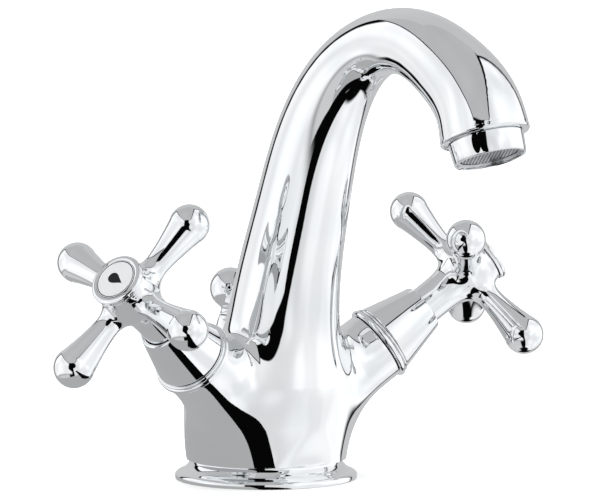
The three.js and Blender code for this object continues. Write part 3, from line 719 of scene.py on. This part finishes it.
flange = outline(
    (WAIST_RADIUS, -WAIST_CUT), (WAIST_RADIUS, -5.9), (25.3, -5.5), (26.4, -3.4, 28.9, -2.5),
    (29.75, -2.2, 30, -1.4), (30, -0.6), (30, 0, 29.4, 0), fineness=6,
)
face_off(skin, DOWNWARDS, -WAIST_CUT, 36, flange)
for place in VALVES.values():
    face_off(skin, place, 46.2, 18, [(ARM_RADIUS, 46.2), *rounded(ARM_RADIUS, ARM_FACE, 0.35)])
face_off(skin, BOSS, 51.4, 7, [(BOSS_RADIUS, 51.4), *rounded(BOSS_RADIUS, BOSS_FACE, 0.5)])
face_off(skin, OUTLET, -1.6, 20, [(14.12, -1.6), *rounded(14.2, 0, 0.9)])

# %% [markdown]
# ## Waterways
# Water comes up through two inlets, crosses each valve in its pocket, and meets in the hollow spout. These
# and the sockets below are taken out with boolean cuts, so the piece can be looked into from any side.


# %% Cutting the waterways
def drilling(start, end, radius):
    start, end = Vector(start), Vector(end)
    return moved(rod(radius, 0, (end - start).length, steps=32), frame_along(end - start, start))


core_line = spout_line[225::COARSE] - np.array([0, 0, 0, SPOUT_WALL])
meeting = Vector(core_line[0][:3]) + Vector((0, 0, 1))
tools = [
    swept(core_line, 48),
    moved(rod(11.5, -10.6, 1, steps=96), OUTLET),
    moved(rod(2.6, -1, 53.5), BOSS),
    moved(rod(3.3, 42, 53.5), BOSS),
    moved(rod(3.4, -1, 14), Matrix.Translation((0, -15.5, 0))),
    ring(24.9, 28.1, -1, 2.5),
]
for label, side in (("hot", -1), ("cold", 1)):
    place = VALVES[label]
    tools += [
        moved(rod(8.6, 27, 49), place),
        moved(rod(10.3, 45.5, 49), place),
        moved(rod(4.6, -1, 12), Matrix.Translation((side * 10.2, -3, 0))),
        drilling((side * 10.2, -3, 11), place @ Vector((0, 0, 28)), 3),
        drilling(place @ Vector((0, 0, 33.3)), meeting, 2.8),
    ]
casting = piece("casting", carve(skin, *tools), UPRIGHT, "faucet_body", "chrome", "body_casting")

# %% [markdown]
# ## The cross handles
# Each handle is a hub with four drop-shaped arms that end in balls. The hub is a bell that narrows to a
# neck, and the neck runs into the mouth of the sleeve. It is grown like the casting, at a finer size, then
# bored for the spindle and recessed for the cap. Both handles are the same casting, turned to their angles.

# %% Cross handle
BALL_RADIUS, BALL_AT, MEET = 6.6, 29.25, math.radians(-22)
NECK_END, HUB_TOP, NECK_RADIUS, TOP_RADIUS = -22.7, 7.6, 6.5, 8.3
hub_section = outline(
    (0, NECK_END - SPARE), (NECK_RADIUS, NECK_END - SPARE), (NECK_RADIUS, -13.5),
    (NECK_RADIUS, -6.75, 8.7, -2), (9.1, 2, TOP_RADIUS, 5.6), (TOP_RADIUS, HUB_TOP + SPARE),
    (0, HUB_TOP + SPARE), fineness=24,
)
ball = [(BALL_RADIUS * math.cos(t), BALL_AT + BALL_RADIUS * math.sin(t))
        for t in np.linspace(MEET, math.pi / 2, 40)]
arm_outline = outline((0, 0), (5.6, 0), (5.6, 5.7), (4, 8.7, 4, 13), (4.2, 18, *ball[0]), fineness=30)
arm_outline += [Vector(p) for p in ball[1:]]
arm_outline[-1].x = 0
SIDEWAYS = Matrix.Rotation(math.pi / 2, 4, "Y")
arm_places = [Matrix.Rotation(i * math.pi / 2, 4, "Z") @ SIDEWAYS for i in range(4)]


def four_arms(at):
    """The field of the arm that lies nearest, as the cross is the same in all four quarters."""
    wide = np.abs(at[:, :2])
    folded = np.column_stack([wide.max(1), wide.min(1), at[:, 2]])
    return one_arm(folded)


one_arm = turned_field(arm_outline, arm_places[0])
hub_field = turned_field(hub_section)
handle_skin = grown(
    [turned(hub_section), *[moved(turned(arm_outline, 48), place) for place in arm_places]],
    melted(hub_field, four_arms, 4.5), voxel=0.42,
)
face_off(handle_skin, UPRIGHT, HUB_TOP - 0.9, 10.5,
         [(TOP_RADIUS, HUB_TOP - 0.9), *rounded(TOP_RADIUS, HUB_TOP, 0.4)])
face_off(handle_skin, DOWNWARDS, -NECK_END - 0.9, 9,
         [(NECK_RADIUS, -NECK_END - 0.9), *rounded(NECK_RADIUS, -NECK_END, 0.3)])
handle_skin = carve(handle_skin, rod(4.2, NECK_END - 1, -2), rod(1.9, -3, 1.8), rod(6, 1.5, 9))
for label, place in VALVES.items():
    turn = Matrix.Rotation(CLOCKING[label], 4, "Z")
    piece(f"{label}_cross", handle_skin.copy(), place @ Matrix.Translation((0, 0, HUB_CENTRE)) @ turn,
          f"{label}_handle", "chrome", f"{label}_cross_handle")
handle_skin.free()

# %% [markdown]
# ## Collars and sleeves
# A bead ring covers the joint between each arm and its valve: a full round bead, a narrow groove, and a
# thinner lip where the sleeve sits. The sleeve is a plain cone. It hides the valve's brass body, and its
# small end is an open mouth that the handle's neck turns in.

# %% Collars and sleeves
def bead(radius, low, high, steps=8):
    """A half-round edge from one height to another, at its widest in the middle."""
    half = (high - low) / 2
    turns = [math.pi * i / steps - math.pi / 2 for i in range(steps + 1)]
    return [(radius - half + half * math.cos(t), (low + high) / 2 + half * math.sin(t)) for t in turns]


COLLAR_BORE, COLLAR_RADIUS, COLLAR_LIP, COLLAR_START, COLLAR_END = 9.9, 13.3, 12.75, 47.7, 50.7
collar_section = [
    (COLLAR_BORE, COLLAR_START), *bead(COLLAR_RADIUS, COLLAR_START, 49.75), (12.1, 49.8),
    *bead(COLLAR_LIP, 49.85, COLLAR_END), (COLLAR_BORE, COLLAR_END),
]
sleeve_section = [
    (10.8, 51), (11.9, 51), (12.05, 51.4), (8.15, 67.6), (7.95, 68.2), (7.45, 68.5), (6.8, 68.2),
    (6.8, 64.2), (7.9, 60.3), (7.9, 53.4), (10.8, 53.4),
]
for label, place in VALVES.items():
    piece(f"{label}_collar", moved(turned(collar_section, 128, ring=True), place), UPRIGHT,
          "faucet_body", "chrome", f"{label}_collar_ring", sharp=50)
    piece(f"{label}_sleeve", moved(turned(sleeve_section, 128, 0.12, ring=True), place), UPRIGHT,
          "faucet_body", "chrome", f"{label}_bonnet_sleeve", sharp=35)

# %% [markdown]
# ## Index caps
# A cap closes each hub and hides the screw. It has a bevelled bezel over a finely milled band, which gives
# the fingers something to pull, and a satin disc sits in it. A thin groove runs round the disc, and the mark
# inside it is a plain drop, cut a little into the metal. The band starts as a turned ring, and every second
# column of its vertices is pushed in, which makes the teeth.

# %% Index caps
CAP_RADIUS, CAP_START, CAP_END, RECESS = 9.0, 95.1, 97.5, 5.7
INLAY_RADIUS = 6.9
MILLED_LOW, MILLED_HIGH, TOOTH = 95.25, 96.05, 0.16
TEETH = 90


def index_cap():
    seat = INLAY_RADIUS + 0.12
    points = [
        (0, CAP_START - 2.4), (RECESS, CAP_START - 2.4), (RECESS, CAP_START), (8.5, CAP_START),
        (8.62, MILLED_LOW), (8.62, MILLED_HIGH), (CAP_RADIUS, 96.15), (CAP_RADIUS, 96.7),
        (8.85, 97.05), (8.3, 97.42), (7.9, CAP_END), (7.5, CAP_END), (seat, 97.3), (seat, 96.6), (0, 96.6),
    ]
    bm = turned(points, 2 * TEETH)
    for vertex in bm.verts:
        column = round(math.atan2(vertex.co.y, vertex.co.x) / math.pi * TEETH)
        on_band = MILLED_LOW - 0.01 < vertex.co.z < MILLED_HIGH + 0.01 and vertex.co.xy.length > 8
        if on_band and column % 2:
            vertex.co.xy *= 1 - TOOTH / vertex.co.xy.length
    return bm


def index_inlay():
    top = CAP_END - 0.05
    return turned([
        (0, 96.7), (INLAY_RADIUS, 96.7), (INLAY_RADIUS, top - 0.1), (INLAY_RADIUS - 0.1, top),
        (6.66, top), (6.6, top - 0.14), (6.38, top - 0.14), (6.32, top), (0, top),
    ], 128)


def drop_cutter():
    """A drop outline with a round foot, pushed through the disc's face."""
    bm = bmesh.new()
    half = [
        (0.0, 3.4), (0.42, 2.35), (1.05, 1.1), (1.62, -0.05), (1.85, -1.15), (1.6, -2.15), (0.95, -2.85),
        (0, -3.1),
    ]
    points = half + [(-x, y) for x, y in reversed(half[1:-1])]
    base = bm.faces.new([bm.verts.new((x, y, CAP_END - 0.2)) for x, y in points])
    lifted = bmesh.ops.extrude_face_region(bm, geom=[base])["geom"]
    bmesh.ops.translate(bm, verts=[g for g in lifted if isinstance(g, bmesh.types.BMVert)], vec=(0, 0, 1))
    corners = [e for e in bm.edges if abs(e.verts[0].co.z - e.verts[1].co.z) > 0.5 and e.verts[0].co.y < 3]
    bmesh.ops.bevel(bm, geom=corners, offset=0.4, segments=3, profile=0.5, affect="EDGES", material=-1,
                    clamp_overlap=True)
    bmesh.ops.recalc_face_normals(bm, faces=bm.faces)
    return bm


CAP_PLACES = {label: VALVES[label] @ Matrix.Rotation(CLOCKING[label], 4, "Z") for label in VALVES}
for label, place in CAP_PLACES.items():
    piece(f"{label}_cap", index_cap(), place, f"{label}_handle", "chrome", f"{label}_index_cap", sharp=40)
    piece(f"{label}_inlay", carve(index_inlay(), drop_cutter()), place, f"{label}_handle", "satin_chrome",
          f"{label}_index_inlay", sharp=30)

# %% [markdown]
# ## The waste knob
# A ball on a short flared neck is pulled up to close the waste. Its rod goes down through a guide in the
# boss.

# %% Knob and rod
KNOB_RADIUS, KNOB_CENTRE, KNOB_START, KNOB_NECK, ROD_RADIUS = 7.0, 61.2, 52.8, 3.4, 2.0
foot = math.acos((KNOB_NECK - 0.35) / KNOB_RADIUS)
meeting_at = (KNOB_RADIUS * math.cos(foot - 0.1), KNOB_CENTRE - KNOB_RADIUS * math.sin(foot - 0.1))
knob_section = outline(
    (0, 59.8), (2.3, 59.8), (2.3, KNOB_START), (KNOB_NECK + 0.35, KNOB_START), (KNOB_NECK + 0.35, 53.2),
    (KNOB_NECK - 0.7, 54.2, *meeting_at),
    fineness=8,
)
knob_section += [Vector((KNOB_RADIUS * math.cos(t), KNOB_CENTRE + KNOB_RADIUS * math.sin(t)))
                 for t in np.linspace(0.12 - foot, math.pi / 2, 36)]
knob_section[-1].x = 0
piece("knob", turned(knob_section, 96), BOSS, "waste_lift", "chrome", "lift_knob")
piece("knob_rod", rod(ROD_RADIUS, 0.6, 59.5, 0.3), BOSS, "waste_lift", "steel", "lift_rod")

# %% [markdown]
# ## The aerator
# A plain ring is screwed into the outlet. It narrows a little to a thin rim at its end, and it holds a fine
# square mesh. The mesh starts as a grid of faces: the ones outside the circle are deleted, each one left is
# inset, its middle is taken out, and what stays is given a thickness.

# %% Aerator
housing_section = [
    (9.4, -8), (10.9, -8), (11.2, -7.7), (11.2, 0.2), (11.8, 0.2), (11.95, 0.4), (11.45, 6.4), (11.2, 6.8),
    (10.7, 6.9), (10.45, 6.7), (10.45, 5.1), (9.4, 5.1),
]
piece("aerator_ring", turned(housing_section, 128, ring=True), OUTLET, "faucet_body", "chrome",
      "aerator_housing", sharp=30)


def mesh_disc(radius, low, high, cells=19):
    bm = bmesh.new()
    bmesh.ops.create_grid(bm, x_segments=cells, y_segments=cells, size=radius)
    outside = [f for f in bm.faces if max(v.co.length for v in f.verts) > radius - 0.4]
    bmesh.ops.delete(bm, geom=outside, context="FACES")
    holes = list(bm.faces)
    bmesh.ops.inset_individual(bm, faces=holes, thickness=0.2, use_even_offset=True)
    bmesh.ops.delete(bm, geom=holes, context="FACES")
    bmesh.ops.solidify(bm, geom=list(bm.faces), thickness=0.3)
    bmesh.ops.translate(bm, verts=bm.verts, vec=(0, 0, (low + high) / 2))
    bmesh.ops.recalc_face_normals(bm, faces=bm.faces)
    border = bpy.data.meshes.new("border")
    edge_ring = ring(radius - 1.0, radius, low, high, 0.1)
    edge_ring.to_mesh(border)
    edge_ring.free()
    bm.from_mesh(border)
    return bm


piece("aerator_mesh", moved(mesh_disc(10.4, 5.15, 5.75), Matrix.Rotation(0.5, 4, "Z")), OUTLET, "faucet_body",
      "steel", "aerator_screen")

# %% [markdown]
# ## Finishes
# Each slot of the record gets a finish. Polished chrome is nearly a mirror, so its detail is slight: a soft
# unevenness left by the polishing wheel, which bends long reflections a little, faint clouds of haze, and a
# few dull specks of dried water. The bumps are hundredths of a millimetre at most.

# %% Chrome
def surface(name, colour, metallic, roughness, bump=None, depth=0.0, **constants):
    """A finish from what varies over it and from the shader's constants."""
    material = bpy.data.materials.new(name)
    nodes = Nodes(material)
    at = nodes.add("TexCoord", output="Object")
    inputs = {"Metallic": metallic, **constants}
    for socket, what in (("Base Color", colour), ("Roughness", roughness)):
        made_of = what(nodes, at) if callable(what) else what
        if isinstance(made_of, tuple):
            made_of = (*made_of, 1)
        inputs[socket] = made_of
    if bump:
        bumps = {"Strength": 1.0, "Distance": depth, "Height": bump(nodes, at)}
        inputs["Normal"] = nodes.add("Bump", inputs=bumps)
    nodes.add("OutputMaterial", inputs={"Surface": nodes.add("BsdfPrincipled", inputs=inputs)})
    return material


def noise(nodes, at, size, detail=2.0, rough=0.5, stretch=None):
    """Noise whose patches are about a given number of millimetres across."""
    if stretch:
        at = nodes.add("Mapping", inputs={"Vector": at, "Scale": stretch})
    inputs = {"Vector": at, "Scale": 1 / (size * MM), "Detail": detail, "Roughness": rough}
    return nodes.add("TexNoise", inputs=inputs)


def specks(nodes, at, spacing, size):
    """Round specks with a spacing and a size in millimetres, at uneven places."""
    inputs = {"Vector": at, "Scale": 1 / (spacing * MM), "Randomness": 1.0}
    return 1 - nodes.add("TexVoronoi", {"feature": "F1"}, inputs).rise(size / spacing * 0.6, size / spacing)


def chrome_haze(nodes, at):
    haze = noise(nodes, at, 14, 3).rise(0.45, 0.75) * 0.02
    marks = specks(nodes, at, 9, 0.7) * noise(nodes, at, 20).rise(0.5, 0.6) * 0.10
    return 0.018 + haze + marks


def chrome_tint(nodes, at):
    return nodes.mix(noise(nodes, at, 22, 2).rise(0.35, 0.7), (0.84, 0.855, 0.87), (0.885, 0.893, 0.9))


CHROME = surface("polished chrome", chrome_tint, 1.0, chrome_haze,
                 lambda nodes, at: noise(nodes, at, 16, 1.0), 0.00005)

# %% [markdown]
# The satin disc is lathe-turned: fine circles round its own middle, dull across and brighter along them. What
# is cut into it, the ring and the drop, is filled with dark enamel. Both are found from the distance to the
# valve's axis and from the height along it, so the finish is made once for each valve.

# %% Satin disc
def satin_disc(label):
    joint = joints[f"{label}_valve_turn"]
    axis, hub = Vector(joint["axis"]), Vector(joint["pos_m"])

    def from_axis(nodes, at):
        away = nodes.add("VectorMath", {"operation": "SUBTRACT"}, {0: at, 1: hub})
        across = nodes.add("VectorMath", {"operation": "CROSS_PRODUCT"}, {0: away, 1: axis})
        reach = nodes.add("VectorMath", {"operation": "LENGTH"}, {0: across}, "Value")
        return reach / MM, nodes.dot(away, axis) / MM

    def rings(nodes, at):
        reach, _ = from_axis(nodes, at)
        return nodes.add("TexNoise", {"noise_dimensions": "1D"}, {"W": reach * 9, "Detail": 3.0})

    def cut_in(nodes, at):
        _, height = from_axis(nodes, at)
        level = CAP_END - HUB_CENTRE - 0.05
        return 1 - height.rise(level - 0.08, level - 0.03)

    def colour(nodes, at):
        metal = nodes.mix(rings(nodes, at), (0.74, 0.75, 0.76), (0.86, 0.865, 0.87))
        return nodes.mix(cut_in(nodes, at), metal, (0.012, 0.012, 0.014))

    def roughness(nodes, at):
        return 0.24 + rings(nodes, at) * 0.16 + cut_in(nodes, at) * 0.12

    return surface(f"satin {label}", colour, 0.7, roughness, rings, 0.000012)


SATIN = {label: satin_disc(label) for label in VALVES}

# %% [markdown]
# Inside are plain engineering finishes: machined brass with turning marks, brushed stainless steel, lapped
# ceramic with a faint grain, moulded black rubber and milky acetal.

# %% Inner finishes
BRASS = surface(
    "machined brass",
    lambda nodes, at: nodes.mix(noise(nodes, at, 6, 3), (0.66, 0.47, 0.19), (0.83, 0.65, 0.33)), 1.0,
    lambda nodes, at: 0.22 + noise(nodes, at, 1.5, 4) * 0.22,
    lambda nodes, at: noise(nodes, at, 0.5, 2, stretch=(1, 1, 6)), 0.00001)
STEEL = surface(
    "stainless steel",
    lambda nodes, at: nodes.mix(noise(nodes, at, 4, 3), (0.54, 0.55, 0.57), (0.70, 0.71, 0.73)), 1.0,
    lambda nodes, at: 0.2 + noise(nodes, at, 1.0, 4, stretch=(5, 5, 1)) * 0.2,
    lambda nodes, at: noise(nodes, at, 0.6, 2, stretch=(6, 6, 1)), 0.00001)
CERAMIC = surface(
    "lapped ceramic",
    lambda nodes, at: nodes.mix(noise(nodes, at, 0.8, 4), (0.86, 0.85, 0.81), (0.94, 0.93, 0.90)), 0.0,
    lambda nodes, at: 0.16 + noise(nodes, at, 2, 3) * 0.14)
RUBBER = surface(
    "black rubber",
    lambda nodes, at: nodes.mix(noise(nodes, at, 3, 3), (0.018, 0.018, 0.02), (0.045, 0.045, 0.048)), 0.0,
    lambda nodes, at: 0.62 + noise(nodes, at, 1.2, 3) * 0.25,
    lambda nodes, at: noise(nodes, at, 0.35, 3), 0.00003)
ACETAL = surface(
    "milky acetal",
    lambda nodes, at: nodes.mix(noise(nodes, at, 5, 2), (0.76, 0.78, 0.80), (0.86, 0.88, 0.90)), 0.0,
    lambda nodes, at: 0.36 + noise(nodes, at, 2.5, 2) * 0.16,
    lambda nodes, at: noise(nodes, at, 0.7, 2), 0.00002)
# The aerator's insert gets a near-black acetal instead of the record's pale plastic: painted shade for the dark
# space behind the mesh, not the plastic's own colour.
PAINTED_SHADE_ACETAL = surface(
    "acetal darkened as painted shade",
    lambda nodes, at: nodes.mix(noise(nodes, at, 4, 2), (0.05, 0.052, 0.055), (0.09, 0.092, 0.095)), 0.0,
    lambda nodes, at: 0.4 + noise(nodes, at, 2, 2) * 0.2,
    lambda nodes, at: noise(nodes, at, 0.7, 2), 0.00002)
FINISHES = {
    "chrome": CHROME, "brass": BRASS, "steel": STEEL, "ceramic": CERAMIC, "rubber": RUBBER, "plastic": ACETAL,
}
print(len(FINISHES) + len(SATIN), "finishes")

# %% [markdown]
# ## Dressing everything
# New pieces take their finish by slot. The model's own inner pieces keep their shape, and the record says
# which slot each of them has.

# %% Dressing
for item, slot in made:
    item.data.materials.append(SATIN[item.name.split("_")[0]] if slot == "satin_chrome" else FINISHES[slot])

slots = {part["node"]: part["material_slot"] for part in frame["record"]["subparts"]}
# The aerator's insert takes the near-black acetal as painted shade behind the mesh; every other node of the model
# takes the finish of its slot.
for name, node in frame["nodes"].items():
    for holder in node.material_slots:
        holder.material = PAINTED_SHADE_ACETAL if name == "aerator_insert" else FINISHES.get(slots[name], CHROME)
